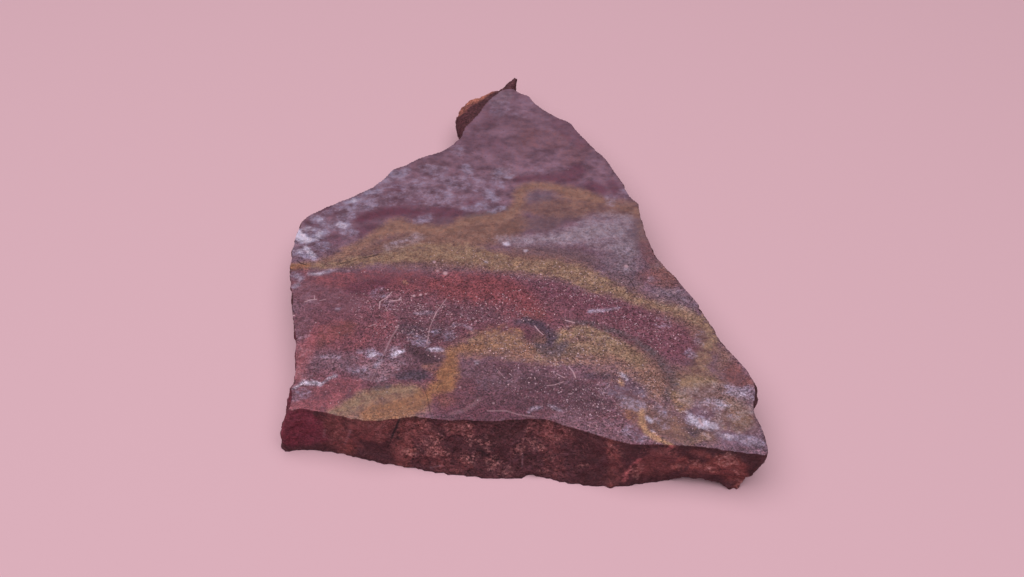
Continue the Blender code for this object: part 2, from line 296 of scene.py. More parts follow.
        (0.8, (11, -7.6, 0.5), (13.5, -8.6, 0.7), (15.5, -9.6, 0.5)),
        (0.7, (-2, -3.8, 0.4), (2, -4.3, 0.4), (6, -4.9, 0.4)),
        (0.6, (28.9, -17, 0.6), (29.6, -19.3, 0.6), (28.7, -21.5, 0.5)),
        (0.35, (28.7, -21.5, 0.5), (27.8, -23.5, 0.7), (27, -25.5, 0.9)),
        (0.5, (30.5, -31.4, 0.8), (32, -33.4, 1), (31.4, -35, 0.8)),
        (0.35, (24.5, -37.4, 0.7), (29, -34.4, 0.9)),
        (0.75, (6.8, -20, 0.7), (8, -18.6, 1), (10, -17.8, 0.9), (12, -18.5, 1.1), (14, -20, 1.3),
         (16, -21.5, 1.2), (18.5, -23.5, 0.9)),
        (0.6, (7.5, -21.6, 0.8), (10.5, -21, 1.2), (13, -21.5, 1)),
        (0.4, (-5, -19.5, 0.8), (-2, -19.5, 1.6), (0.5, -19.5, 1.3)),
        (0.35, (4.6, -22.8, 0.8), (7.5, -23, 0.8)),
        (0.85, (24, -27.4, 0.9), (26, -27.4, 1.1), (28.3, -27.2, 0.8)),
        (0.95, (23.2, -29.6, 0.9), (24.3, -30.4, 1.1), (23.7, -31.5, 0.8)),
        (0.8, (-25, -32.6, 0.7), (-22.6, -31.4, 1.1), (-20, -29.8, 1), (-17, -29, 1), (-14, -29, 1)),
    )},
    "golden": {"tone": (148, 103, 80), "edge": 0.8, "ragged": 0.7, "strokes": (
        (0.85, (-8.9, -22.4, 0.6), (-9, -24.5, 1.1), (-9.4, -26, 1.5), (-9.8, -27.8, 1.4),
         (-11.6, -29, 0.8), (-11.7, -31, 0.5)),
        (0.6, (-20, -33.2, 0.9), (-16.5, -32.4, 1.3), (-13.6, -31.4, 1.3), (-12.6, -29.6, 0.8)),
        (0.3, (23.4, -30.2, 0.6), (24.2, -31.2, 0.8)),
        (0.45, (16.6, -33, 0.7)),
        (0.35, (-12.2, -24.7, 0.4), (-11.4, -24.7, 0.6), (-10.4, -25, 0.6)),
        (0.5, (-9.2, -21.7, 0.3), (-7, -21.2, 0.5), (-4.6, -20.8, 0.6)),
        (0.3, (-4, -18.4, 0.8), (-1.8, -18.2, 1.2), (0.6, -18.6, 0.9)),
        (0.28, (-3.2, -20.5, 0.8), (0, -20.9, 1), (2.4, -22, 0.7)),
        (0.7, (-34.6, -4.8, 0.6), (-33, -4.9, 0.5), (-32, -4.6, 0.4)),
    )},
    "moss": {"tone": (97, 79, 85), "edge": 0.6, "ragged": 1.3, "strokes": (
        (0.65, (8, -16, 0.2), (11, -16.4, 0.4), (13.5, -17.3, 0.4), (15.5, -18.2, 0.6), (17, -19, 0.4),
         (19, -20.6, 0.4), (21, -22.6, 0.5), (22.2, -25, 0.6), (22.9, -27, 0.9), (23.1, -28.4, 0.5)),
        (0.55, (22, -29, 0.4), (21.9, -30.6, 0.3)),
        (0.85, (3.8, -20.8, 0.5), (5.5, -21.9, 0.8), (7.2, -21.6, 0.8), (7.8, -20.4, 0.3)),
        (0.5, (-7, 6.6, 0.3), (-1, 8, 0.3)),
        (0.4, (8.5, -22, 0.4), (10, -21.7, 0.3)),
    )},
    "slate": {"tone": (86, 69, 81), "edge": 0.6, "ragged": 1.1, "strokes": (
        (0.9, (0.5, -16.2, 0.3), (2, -16, 0.6), (3.8, -16.5, 0.8), (5.2, -17.7, 0.8), (5.8, -19, 0.8),
         (5.4, -20.6, 0.6)),
        (0.35, (13.8, -28.9, 0.6), (16, -29.3, 1), (18.2, -28.9, 0.6)),
        (0.3, (-4, -27.8, 0.8), (-1, -28, 0.6)),
        (0.35, (-28.6, -22.8, 0.4), (-28.6, -25.6, 0.5)),
        (0.3, (-24, -24, 0.6), (-22.4, -25.6, 0.9)),
        (0.6, (10.8, -26.5, 0.4), (13.6, -26.4, 0.4)),
        (0.85, (-16, -26.3, 0.7), (-14.5, -26.2, 1), (-12.6, -26.2, 0.8)),
        (0.5, (-19.4, -28.4, 0.4), (-17.8, -28.2, 0.4)),
        (0.4, (-16, -17.3, 0.8), (-13, -19, 1), (-10, -19.4, 0.8)),
        (0.75, (24.4, -35.5, 0.5), (24.9, -36.6, 0.5), (26.4, -35.6, 0.3)),
        (0.5, (17.4, -28.6, 0.5), (18.4, -29, 0.5)),
        (0.45, (-29.8, -0.2, 0.4), (-29, -1.2, 0.5)),
    )},
    "soot": {"tone": (82, 60, 68), "edge": 0.7, "ragged": 1.2, "strokes": (
        (0.85, (-15.3, -21, 0.3), (-14.2, -21.6, 0.8), (-13, -22.6, 1.1), (-11.6, -23.2, 0.9),
         (-10.5, -23.4, 0.5)),
        (0.35, (3.4, -18.8, 0.4), (3.8, -19.8, 0.4)),
        (0.55, (3, -26.6, 0.7), (1.6, -27.4, 0.4)),
        (0.5, (-32.9, 4.8, 0.4)),
        (0.5, (-30.2, 1, 0.3)),
    )},
    "rose": {"tone": (146, 86, 94), "edge": 1.0, "ragged": 0.7, "strokes": (
        (0.75, (-32, -32.4, 0.8), (-30.6, -32, 0.9), (-28.5, -32, 1.1), (-26.5, -31.6, 1),
         (-24.5, -30, 0.9)),
        (0.9, (-31.1, -26.6, 1.1), (-30.8, -24, 1.2), (-30.1, -21.4, 1.2), (-29.4, -18.6, 0.8)),
        (0.45, (-33.4, -5.8, 0.6), (-30, -7.4, 0.7), (-26, -7, 0.8)),
        (0.3, (-19, -15.6, 0.8), (-18.4, -18, 0.7)),
        (0.25, (-22, -23.6, 0.8), (-18, -25, 0.8)),
        (0.5, (-27, -29.3, 1), (-24.5, -28.6, 1.3), (-22.5, -28, 0.9)),
        (0.5, (-10, -7, 0.5), (-8.5, -7, 0.4)),
        (0.35, (-27.8, -19.4, 0.8), (-26, -18, 1.2)),
        (0.6, (-1, -11.5, 0.4), (-0.5, -11.6, 0.4)),
    )},
    "ash": {"tone": (151, 131, 144), "edge": 1.4, "ragged": 0.7, "strokes": (
        (0.75, (-1.8, 1, 0.2), (2, 0.9, 0.5), (6, 1.2, 0.8), (9.5, 1.8, 1.3), (12.5, 2.8, 1.6),
         (16.5, 3.4, 1.8)),
        (0.5, (12, 4.6, 0.8), (14.5, 5.6, 0.9), (18, 5.6, 0.9)),
        (0.45, (14, 1, 1.6), (17, 0.5, 1.6), (18.2, -1.5, 0.9)),
        (0.35, (-19.5, -0.6, 0.1), (-17, 0.6, 0.3), (-14.8, 1.6, 0.2)),
        (0.3, (18, -4.6, 0.6)),
        (0.15, (23.5, -11, 0.8), (25.8, -12, 0.8), (27.5, -13, 0.5)),
        (0.3, (25.4, -30, 1), (29, -29.6, 1.2), (33, -31.4, 1)),
        (0.25, (-19.5, -25.5, 1.2), (-17.5, -24, 1)),
        (0.15, (-30.5, -23, 0.8), (-30, -26.6, 0.8)),
        (0.25, (-2.6, 36.6, 0.8), (-1.6, 38, 0.8)),
        (0.25, (-0.8, 17, 0.8), (-2.5, 16.8, 0.5)),
    )},
    "lilac": {"tone": (146, 129, 151), "edge": 0.7, "ragged": 1.1, "strokes": (
        (0.9, (-34.8, 2.8, 0.9), (-34.2, 1.8, 1.2), (-32.8, 1.4, 1.2), (-31.2, 1.8, 1),
         (-30.2, 2.8, 0.7)),
        (0.75, (-34.4, -1.7, 0.7), (-32.8, -2, 0.9), (-31.3, -2.8, 0.6)),
        (0.3, (-24, 14, 0.8), (-21, 14.4, 1), (-16, 14.2, 1), (-10, 14.4, 1.6), (-3, 14, 1.4)),
        (0.25, (-21, 10.6, 1.4), (-16, 11, 1.2), (-10, 10, 1.2)),
        (0.7, (-32.2, 6, 0.5), (-31, 5.3, 0.5), (-30.4, 4.4, 0.3)),
        (0.6, (-29.2, 4, 0.6), (-27.6, 4.6, 0.8), (-26.6, 3.2, 0.7), (-25.4, 2.6, 0.4)),
        (0.4, (-30.6, -0.4, 0.6), (-29.6, -0.8, 0.4)),
        (0.4, (-30, 7.2, 0.4), (-28.5, 8.6, 0.6)),
        (0.8, (-27.4, 9.8, 0.5), (-26.2, 10.3, 0.6), (-25, 10.6, 0.4)),
        (0.7, (-24.4, 12, 0.6), (-22.4, 12.4, 0.5)),
        (0.5, (-26.4, 8.8, 1), (-23.4, 9.4, 1.2)),
        (0.6, (-20.6, 17, 0.7), (-18.6, 16.4, 0.8), (-18, 17.6, 0.4)),
        (0.5, (-21, 15.4, 0.8)),
        (0.25, (-17.6, 12.6, 0.8), (-15.6, 13.6, 0.8), (-14.8, 12.6, 0.4)),
        (0.5, (-15, 5.6, 0.5), (-13.6, 6.2, 0.6)),
        (0.4, (-12, 11.6, 0.6), (-10.8, 11.2, 0.8)),
        (0.5, (-8, 8.4, 0.4), (-6.2, 8.4, 0.5), (-4.8, 9.2, 0.5), (-4, 8.6, 0.3)),
        (0.55, (-3, 8.3, 0.5), (-1.8, 8.3, 0.4)),
        (0.6, (-3.8, 11.6, 0.8), (-3, 10.6, 0.5)),
        (0.55, (-7.8, 18.2, 0.7), (-7.4, 17.2, 0.6)),
        (0.55, (-2.4, 17, 0.8)),
        (0.25, (-0.6, 16.6, 0.7)),
        (0.15, (-6, 13, 1), (-7.4, 11, 0.7)),
        (0.35, (-15, 18, 0.8), (-12, 17.5, 1)),
        (0.25, (-9.5, 23, 1)),
        (0.15, (4.8, 17.5, 0.8)),
        (0.25, (-2.6, 33, 1), (-1.8, 35, 1.2)),
        (0.3, (16.2, 10.8, 0.6), (16.4, 9.8, 0.5)),
        (0.2, (18.4, 12, 0.5), (19.2, 11.3, 0.4)),
        (0.12, (1.5, 33.5, 1.4), (2.5, 35.5, 0.8)),
        (0.6, (-33.2, 3.8, 0.4), (-31.8, 3.4, 0.5), (-30.6, 3.2, 0.4)),
        (0.35, (-28, 5.8, 0.6), (-26.4, 6.4, 0.6)),
        (0.5, (-33.8, -6.6, 0.5), (-32.8, -7.2, 0.4)),
        (0.3, (-20.6, -10.3, 0.5), (-19.4, -10.6, 0.4)),
        (0.3, (-18.8, -12.8, 0.5)),
        (0.4, (-21, -22, 0.3), (-19.4, -22.6, 0.4), (-17.8, -22.8, 0.4)),
        (0.2, (-23.2, -25, 0.3), (-21.6, -25.6, 0.4)),
        (0.4, (-14.8, -19.6, 0.5), (-12.9, -20.2, 0.6)),
        (0.22, (-10.8, -18.6, 0.8), (-9.2, -19, 0.5)),
        (0.3, (-31, -30, 0.5), (-29.4, -29.8, 0.5)),
        (0.15, (22.5, -16.4, 0.8)),
        (0.4, (25.8, -22.3, 0.4), (26.2, -22.8, 0.3)),
        (0.25, (28.1, -18.6, 0.3), (27.2, -20.3, 0.25)),
        (0.22, (13.8, -28.9, 0.8), (16, -29.3, 1.2), (18.2, -28.9, 0.8)),
        (0.35, (16.2, -30.8, 0.8), (17.8, -31.6, 0.7)),
        (0.5, (28.3, -36.2, 0.3), (30, -37, 0.4), (32, -37.2, 0.5), (34, -37.9, 0.4)),
        (0.38, (24.9, -33.8, 0.6), (26.4, -34.4, 0.8), (28, -35.2, 0.6)),
        (0.35, (28.8, -31, 0.5), (29.6, -32, 0.5)),
        (0.45, (31, -28.8, 0.6), (32.6, -29.4, 0.8), (34, -29.6, 0.6)),
        (0.35, (20.4, -32.4, 0.5), (20.9, -34.4, 0.5)),
        (0.2, (27, -31.6, 0.9), (30, -33.4, 1), (33, -35.6, 1)),
        (0.4, (16, -36, 0.6), (18, -36.8, 0.6)),
    )},
    "wisp": {"tone": (156, 136, 155), "edge": 0.4, "ragged": 0.55, "strokes": (
        (0.8, (-31.5, -6.4, 0.25), (-30.2, -6.4, 0.4), (-29, -6.1, 0.4), (-28.1, -5.8, 0.2)),
        (0.35, (-27.6, -5.8, 0.2), (-25.4, -5.6, 0.1)),
        (0.7, (-33.7, -9.1, 0.3), (-33, -8.6, 0.3)),
        (0.6, (-33.6, -6.8, 0.3), (-32.8, -7.4, 0.2)),
        (0.25, (-31.6, -12.4, 0.1), (-30.4, -12, 0.2), (-29.6, -12.4, 0.1)),
        (0.6, (-26.6, -13.9, 0.25)),
        (0.5, (-14.6, -14.6, 0.1), (-13.2, -14.4, 0.25), (-12, -14.3, 0.15)),
        (0.3, (-31.2, -19.2, 0.2), (-30.2, -18.8, 0.2)),
        (0.4, (-22.6, -21.7, 0.15), (-21.2, -21.9, 0.25)),
        (0.35, (-27.8, -22.9, 0.15), (-26.2, -22.8, 0.25), (-25.2, -23.1, 0.15)),
        (0.3, (-23.3, -23, 0.2), (-22.6, -23, 0.15)),
        (0.6, (-19.6, -24.6, 0.3), (-19.3, -23.8, 0.3), (-18.7, -23.2, 0.2)),
        (0.9, (-12.5, -21.2, 0.15), (-11.4, -21.4, 0.4), (-10.3, -21.6, 0.2)),
        (0.4, (-9, -16.9, 0.05), (-8, -16.7, 0.1), (-7, -17.1, 0.1), (-6, -17.6, 0.05)),
        (0.5, (-17.7, -21.7, 0.1), (-17.2, -21.2, 0.15), (-16.4, -21, 0.1)),
        (0.85, (11.6, -14.2, 0.25), (12.6, -14, 0.3), (14, -13.8, 0.15), (16, -13.4, 0.1)),
        (0.5, (16.2, -30.8, 0.4), (17, -31.4, 0.3)),
        (0.6, (18.2, -31.3, 0.3), (18.7, -31.2, 0.3)),
        (0.6, (2.4, -32.8, 0.15), (3.2, -32.2, 0.25), (4, -31.9, 0.15)),
        (0.6, (5.3, -31.6, 0.15), (6, -31.9, 0.25), (6.7, -32.4, 0.15)),
        (0.5, (28.6, -36.2, 0.2), (29.8, -37, 0.35), (31.4, -37.2, 0.3), (33.6, -38, 0.3)),
        (0.4, (31.2, -28.5, 0.2), (32.6, -28.8, 0.25), (34, -29.6, 0.2)),
        (0.4, (18.1, -2, 0.4), (18.5, -1, 0.3)),
        (0.35, (-19, 0.2, 0.15), (-17.4, 0.6, 0.25), (-15.6, 1.6, 0.15)),
        (0.35, (21, -7.7, 0.2), (21.8, -7.4, 0.2)),
        (0.6, (26.3, -36.5, 0.15), (27, -37, 0.2)),
    )},
    "white": {"tone": (196, 180, 200), "edge": 0.4, "ragged": 0.7, "strokes": (
        (0.9, (-34.8, 2.8, 0.6), (-33.9, 1.6, 0.8), (-32.6, 0.8, 0.5)),
        (0.55, (-31.4, 1.4, 0.5), (-31, 2.8, 0.3)),
        (0.4, (-33.4, 3.4, 0.3), (-32.2, 3.6, 0.25)),
        (0.6, (-32.9, -0.8, 0.3), (-32.2, -1.7, 0.35), (-31.2, -2.4, 0.2)),
        (0.4, (-33.8, -1.4, 0.25)),
        (0.45, (-27.9, 4.5, 0.35), (-27.2, 4, 0.25)),
        (0.3, (-31.2, 5.6, 0.25)),
        (0.55, (-26.4, 10.2, 0.4)),
        (0.45, (-30.8, -6.4, 0.15), (-29.6, -6.3, 0.15)),
        (0.8, (-31.2, -28.8, 0.1), (-30.5, -28.1, 0.15), (-29.6, -27.6, 0.25), (-28.4, -27.5, 0.35),
         (-27.5, -27.7, 0.2), (-26.8, -27.3, 0.05), (-26, -26.8, 0.1), (-25.2, -26.5, 0.02)),
        (1.0, (-17.1, -22.5, 0.35), (-16.7, -22.2, 0.45), (-16, -21.8, 0.25)),
        (0.7, (-20.8, -22.2, 0.2), (-20.2, -22.4, 0.15)),
        (0.5, (-11.8, -21.4, 0.15), (-10.8, -21.5, 0.15)),
        (0.5, (24.4, -32.8, 0.2), (25, -33.6, 0.3)),
        (0.8, (25, -34.2, 0.45), (26.4, -34.4, 0.6), (27.4, -34.9, 0.5), (28.3, -35.3, 0.25)),
        (0.5, (26, -35.2, 0.3), (27.2, -35.6, 0.25)),
        (0.25, (29, -31, 0.25), (29.6, -31.9, 0.3)),
        (0.3, (31.6, -29.4, 0.25), (32.8, -29.9, 0.25)),
        (0.9, (18.7, -33.7, 0.3), (19.3, -34.2, 0.3)),
        (0.6, (19.5, -36, 0.25)),
        (0.9, (15.6, -26.1, 0.1), (16, -26.6, 0.25), (16.4, -27, 0.15)),
        (1.0, (-1.1, 0, 0.4), (-0.8, 0, 0.3)),
        (0.8, (2, -1.4, 0.2)),
        (0.6, (-4.2, -3.8, 0.2)),
        (0.9, (-5.2, -23.9, 0.25)),
        (0.3, (28.8, -36.5, 0.2), (30, -37, 0.2)),
    )},
    "amber": {"tone": (172, 130, 106), "edge": 0.4, "ragged": 0.7, "strokes": (
        (0.85, (18.2, -32.2, 0.15), (17.9, -33.6, 0.4), (18.1, -35, 0.5), (19, -36.3, 0.45),
         (20.4, -37.4, 0.4), (21.5, -38, 0.3)),
        (0.9, (15.5, -27.2, 0.15), (15.8, -27.8, 0.25)),
        (0.15, (22.5, -33.8, 0.1), (22.8, -36.6, 0.15)),
        (0.3, (26, -36.4, 0.3), (26.9, -36.9, 0.25)),
        (0.45, (0.6, -4.2, 0.3), (1.1, -4.2, 0.3)),
        (0.35, (7.6, -18.2, 0.3), (8.6, -18.8, 0.3)),
        (0.35, (-16.7, -8.3, 0.3)),
    )},
}

# The same on the broken back edge alone, by their places on the drawing.
stone["backPatches"] = {
    "rind": {"tone": (186, 114, 98), "edge": 1.0, "ragged": 0.8, "strokes": (
        (0.45, (-10, 34.4, 0.8), (-9, 36.2, 0.8)),
        (0.9, (-8.6, 36.6, 0.7), (-7, 38, 1.3), (-5.2, 39.5, 1), (-4, 40.8, 0.5)),
    )},
}

# And on the broken front edge, as (x, height above the table, half width).
stone["frontPatches"] = {
    "wineFront": {"tone": (121, 54, 69), "edge": 0.7, "ragged": 0.4, "strokes": (
        (1.0, (-32, 7.5, 1.8), (-31, 5, 2.6), (-31.5, 2.5, 1.6)),
        (1.0, (-29, 7.5, 1.4), (-28.6, 4.5, 1.6), (-29.5, 2.5, 1.2)),
        (0.85, (-27.3, 6, 0.9), (-27.2, 3, 0.7)),
    )},
    "brownFront": {"tone": (124, 69, 71), "edge": 0.8, "ragged": 0.8, "strokes": (
        (0.95, (-25, 8, 1.3), (-24.8, 5, 1.9), (-24.4, 2.5, 1.6), (-24, 0.8, 1)),
        (0.9, (-22, 7.4, 1.5), (-19, 7, 1.7), (-17, 7.6, 1)),
        (0.75, (-22, 5, 0.9), (-19.4, 5, 0.9), (-17.8, 5.6, 0.5)),
        (0.7, (20, 7, 0.9), (21.8, 6.8, 1)),
        (0.6, (24.6, 3, 0.8), (26.4, 3.2, 0.7)),
        (0.9, (-14.8, 7, 1.2), (-15, 4.8, 1.4), (-15.6, 2.8, 1.5), (-15.6, 1, 1.2)),
        (0.7, (-14, 5.6, 0.8), (-12.6, 7.4, 0.9)),
        (0.5, (-11.8, 5.5, 1), (-10.8, 4.2, 1), (-10, 1.6, 1)),
        (0.6, (-8.6, 7.4, 0.8), (-6.4, 7, 0.7)),
        (0.6, (3.4, 7.3, 0.8), (5.5, 7.2, 1), (7.8, 7.5, 0.8)),
        (0.5, (-12.6, 2, 0.8)),
        (0.4, (-9.5, 1.5, 1.2), (-7, 1.6, 1)),
        (0.5, (-23, 4.8, 0.8), (-22.6, 3, 0.8)),
        (0.4, (5.5, 5, 1), (6, 2, 1.4)),
        (0.6, (13.9, 7.5, 0.6), (14.2, 5.5, 0.7), (14.6, 3.5, 0.9), (14.2, 1, 0.9)),
        (1.0, (17.4, 2.6, 0.9), (19, 5, 1.3), (19, 2, 1)),
        (0.9, (21, 5, 1.1), (21.4, 2.6, 1)),
        (0.7, (-26.4, 1.6, 0.7)),
    )},
    "rustFront": {"tone": (138, 74, 73), "edge": 0.7, "ragged": 1.0, "strokes": (
        (0.5, (-23.4, 3.6, 0.5), (-23.2, 1.8, 0.5)),
        (0.5, (-14.4, 3.4, 0.8)),
        (0.4, (13.8, 7.8, 0.3), (14.1, 5.6, 0.4)),
        (0.7, (22.8, 3.6, 0.6), (23.6, 5.4, 0.9)),
        (1.0, (25.2, 4.8, 0.8), (26.6, 5.3, 1), (28, 6.4, 1.1), (29.6, 6.9, 1.3), (31, 6, 1.1), (32, 4, 1),
         (32.2, 2.4, 0.9), (31.8, 1, 0.8)),
        (0.7, (27.4, 4.3, 0.7), (30, 3.8, 1.1), (30.6, 2.6, 0.9)),
        (0.6, (25, 7.5, 0.5), (26.6, 7.3, 0.4)),
    )},
    # dark patches of the broken front; the strokes that run along just under the rim are painted shade
    "darkFrontAndRimShade": {"tone": (76, 41, 47), "edge": 0.7, "ragged": 0.9, "strokes": (
        (0.5, (-28, 0.9, 0.7), (-26.5, 0.6, 0.6)),
        (0.35, (-21.5, 1, 0.8), (-20, 2.2, 1.2), (-18.2, 2.8, 1.1), (-17.9, 1, 0.9)),
        (0.65, (-1.8, 7.4, 1), (0, 7.4, 1), (1.4, 7.7, 0.7)),
        (0.6, (-2.4, 5.6, 0.8), (-1.6, 4.6, 0.8)),
        (0.7, (1.8, 4, 0.5), (2.4, 2.6, 0.9)),
        (0.6, (9, 7.5, 0.8), (10.5, 6, 1.3), (11.3, 4.8, 0.8)),
        (0.4, (8.5, 4.5, 1)),
        (0.4, (11.6, 1.6, 1)),
        (0.8, (-4.9, 4.3, 0.3), (-3.6, 3.6, 0.5)),
        (0.5, (-8.3, 5.2, 0.7), (-7.2, 4.4, 0.8)),
        (0.9, (16.7, 7.8, 0.6), (18.4, 7.7, 0.4)),
        (0.9, (15.7, 6.2, 0.35), (15.8, 5.4, 0.3)),
        (0.6, (17.8, 0.9, 0.8), (20, 1.2, 0.6)),
        (0.5, (22, 1.4, 0.7), (24, 1.8, 0.6), (27, 2.4, 0.7), (29.4, 2.2, 0.5)),
        (0.8, (24, 7.9, 0.4), (26, 8.2, 0.3), (28.5, 8.3, 0.3), (31, 8.2, 0.3)),
        (0.7, (32.8, 7.4, 0.8), (33.4, 5.5, 0.9), (34, 3.6, 0.7)),
        (0.8, (24.4, 6.6, 0.4), (25.2, 6.2, 0.4), (26.6, 6.4, 0.3)),
    )},
    "salmonFront": {"tone": (164, 110, 108), "edge": 0.6, "ragged": 1.2, "inSpecks": True, "strokes": (
        (0.62, (-14.9, 2.8, 0.5), (-13.8, 3, 0.4), (-13, 3.8, 0.3)),
        (0.55, (-12.2, 2.9, 0.3), (-11.2, 3.5, 0.4), (-9.3, 3.7, 0.3)),
        (0.4, (-11.6, 4.6, 0.6), (-10.4, 5.8, 0.6)),
        (0.15, (-12.8, 7.6, 0.6), (-11.8, 7.2, 0.3)),
        (0.3, (-8.8, 7.4, 0.4), (-7.4, 7.6, 0.6), (-6.4, 7, 0.4)),
        (0.35, (-6.2, 6, 0.3), (-5.4, 5, 0.3)),
        (0.8, (-6.6, 3.2, 0.35), (-5.8, 2.7, 0.6), (-5.2, 3.5, 0.3)),
        (0.45, (-4.3, 5.2, 0.4), (-3.6, 4.6, 0.35), (-3.2, 5.9, 0.25)),
        (0.45, (-3, 2.2, 0.5), (-2.2, 2.8, 0.4)),
        (0.4, (-1.3, 1, 0.4), (-0.4, 1.4, 0.25)),
        (0.35, (0.6, 4.1, 0.5), (1.4, 4.8, 0.3)),
        (0.35, (2, 5.4, 0.2), (4, 5, 0.2)),
        (0.08, (3, 6.8, 0.6), (4.6, 7.4, 0.7), (6, 7, 0.5), (7.6, 7.4, 0.4)),
        (0.2, (5, 3.4, 0.4), (5.6, 2.8, 0.3)),
        (0.15, (4.5, 1.3, 0.4), (5.8, 2, 0.3)),
        (0.5, (9.8, 3.5, 0.4)),
        (0.4, (15.4, 7, 0.4)),
        (0.25, (13.8, 7.2, 0.25), (14.2, 6, 0.2)),
        (0.85, (28.2, 6.9, 0.5), (29.4, 7.1, 0.9), (30.4, 7, 0.5)),
        (0.7, (25.6, 5.4, 0.5), (27, 4.8, 0.5)),
        (0.6, (31, 5.2, 0.5), (32.2, 3.2, 0.5)),
        (0.5, (31.8, 1.2, 0.5)),
        (0.4, (22.8, 3.8, 0.4)),
        (0.4, (-24.4, 4.2, 0.6)),
        (0.3, (-18.9, 5.2, 0.4)),
        (0.45, (16.8, 3, 0.4), (17.6, 3.6, 0.4), (17.4, 1.8, 0.4)),
    )},
    "pinkFront": {"tone": (190, 108, 112), "edge": 0.3, "ragged": 0.5, "strokes": (
        (1.0, (17.2, 4.8, 0.45), (17.5, 5.6, 0.25)),
        (0.75, (16.9, 4.5, 0.15), (16.3, 3.2, 0.2), (15.7, 0.9, 0.25)),
        (0.5, (21.8, 8.3, 0.3), (21.5, 7.8, 0.2)),
    )},
}

# Where the polished face is calm, with little grain, and where it glitters with pale grains.
stone["glitter"] = {
    "calm": {"edge": 1.6, "strokes": (
        (0.9, (-24, -32.6, 1), (-20, -31, 2), (-15, -30.5, 2.4), (-12, -31, 1.5)),
        (0.8, (-33, -8, 2), (-29, -9.5, 4), (-25.5, -12, 3)),
        (0.7, (-24, -6.6, 1.6), (-19, -7, 1.8), (-15, -6.6, 1.2)),
        (0.5, (-30, -16, 2.5), (-26, -18, 2)),
        (0.5, (-2, -18.6, 1.8), (0, -20, 1.5)),
        (0.6, (-31, -26, 1), (-29.5, -20, 1)),
        (0.6, (-30, -31, 1.5), (-25, -29.5, 2), (-22, -28, 1)),
        (0.7, (-9, -23, 0.8), (-9.3, -28, 1.2)),
        (0.4, (-5, -25, 2), (3, -27, 3), (10, -30, 3)),
        (0.8, (14.5, -29, 1), (17, -30, 1.5), (18, -35, 1.5)),
        (0.8, (21, -33, 1.5), (23, -36, 1.5)),
        (0.7, (31.5, -26.5, 1.6)),
        (0.8, (26, -33, 2.5), (31, -36, 2.5), (33, -33, 1.5)),
        (0.75, (29, -18, 1.2), (28.5, -22, 1.5), (26, -28, 2.4)),
    )},
    "sparkle": {"edge": 2.0, "strokes": (
        (0.9, (-22, -12, 1.5), (-16, -13, 2), (-11, -14, 1.6)),
        (0.6, (-9, -14, 2), (-3, -14, 2), (2, -13, 2)),
        (0.9, (-19, -17.5, 1), (-14, -18, 2), (-9, -17, 1)),
        (1.0, (7.5, -19, 1), (10, -18.5, 1.6), (14, -20, 1.6)),
        (0.6, (-2, -20, 2), (3, -23, 1.5), (10, -23, 1.5)),
        (0.4, (1, -26, 2), (6, -29, 3)),
        (0.75, (8, -30.5, 2), (12, -30.5, 3), (13, -33, 2)),
        (0.6, (6, -10, 1.5), (12, -12, 1.5), (19, -16, 2), (22, -19, 2)),
        (0.5, (-12, -3.5, 1), (-4, -4, 1), (4, -6, 1), (12, -8, 1.5)),
        (0.6, (17, -27, 2), (21, -30, 2), (27, -34, 2)),
    )},
}

# How the strokes lie on the stone.
stone["dip"] = (0.25, 0.55)  # how far the bands slide right and back for each mm of depth
stone["wander"] = 0.35  # how far the bands' edges wander, mm
stone["wanderScale"] = 3.0
stone["wanderSeed"] = 4  # keeps the wander the same each run
stone["frontEdge"] = (-20, 0.2)  # the front patches lie where y and the normal's y are below these


def smoothLine(points, step=0.5):
    # points of the smooth curve through the given ones, half widths along with them
    points = np.array(points, float)
    if len(points) == 1:
        return np.vstack([points, points + (1e-4, 0, 0)])
    longer = np.vstack([2 * points[0] - points[1], points, 2 * points[-1] - points[-2]])
    line = []
    for before, start, end, after in zip(longer, longer[1:], longer[2:], longer[3:]):
        count = max(1, int(np.linalg.norm((end - start)[:2]) / step))
        share = (np.arange(count) / count)[:, None]
        bend = (2 * before - 5 * start + 4 * end - after) * share**2
        turn = (3 * start - before - 3 * end + after) * share**3
        line.append(0.5 * (2 * start + (end - before) * share + bend + turn))
    return np.vstack(line + [points[-1:]])


def insideStroke(places, points):
    # how far inside a stroke each place lies, in mm, and below zero outside it
    line = smoothLine(points)
    best = np.full(len(places), -99.0)  # farther out than any stroke
    for start, end in zip(line, line[1:]):
        along = end[:2] - start[:2]
        share = np.clip((places - start[:2]) @ along / (along @ along), 0, 1)
        away = np.linalg.norm(places - start[:2] - share[:, None] * along, axis=1)
        best = np.maximum(best, start[2] + (end[2] - start[2]) * share - away)
    return best


def wander(places):
    # a slow push on each place, so that painted edges wander like flow lines
    push = np.empty_like(places)
    noise.seed_set(stone["wanderSeed"])
    finer = {"amplitude_scale": 0.5, "frequency_scale": 2.3}  # each of the 3 layers against the one before
    for i, place in enumerate(places):
        push[i] = noise.turbulence_vector(Vector(place) / stone["wanderScale"], 3, False, **finer)
    return push * stone["wander"]


def layMinerals(obj, kinds, places):
    # each kind is stored on the vertices: below 0 outside its strokes, up to its strength in their middle
    for name, kind in kinds.items():
        edge = kind["edge"]
        amount = np.full(len(places), -1.5)  # too far below 0 for the ragged edge to reach
        for strength, *points in kind["strokes"]:
            line = np.array(points, float)
            reach = line[:, 2].max() + 4 * edge
            low, high = line[:, :2].min(0) - reach, line[:, :2].max(0) + reach
            near = np.all((places > low) & (places < high), axis=1)
            inside = insideStroke(places[near], points) / edge / 2 + 0.5
            amount[near] = np.maximum(amount[near], np.minimum(inside, strength))
        layer = obj.data.attributes.new(name, "FLOAT", "POINT")
        layer.data.foreach_set("value", amount.astype(np.float32))


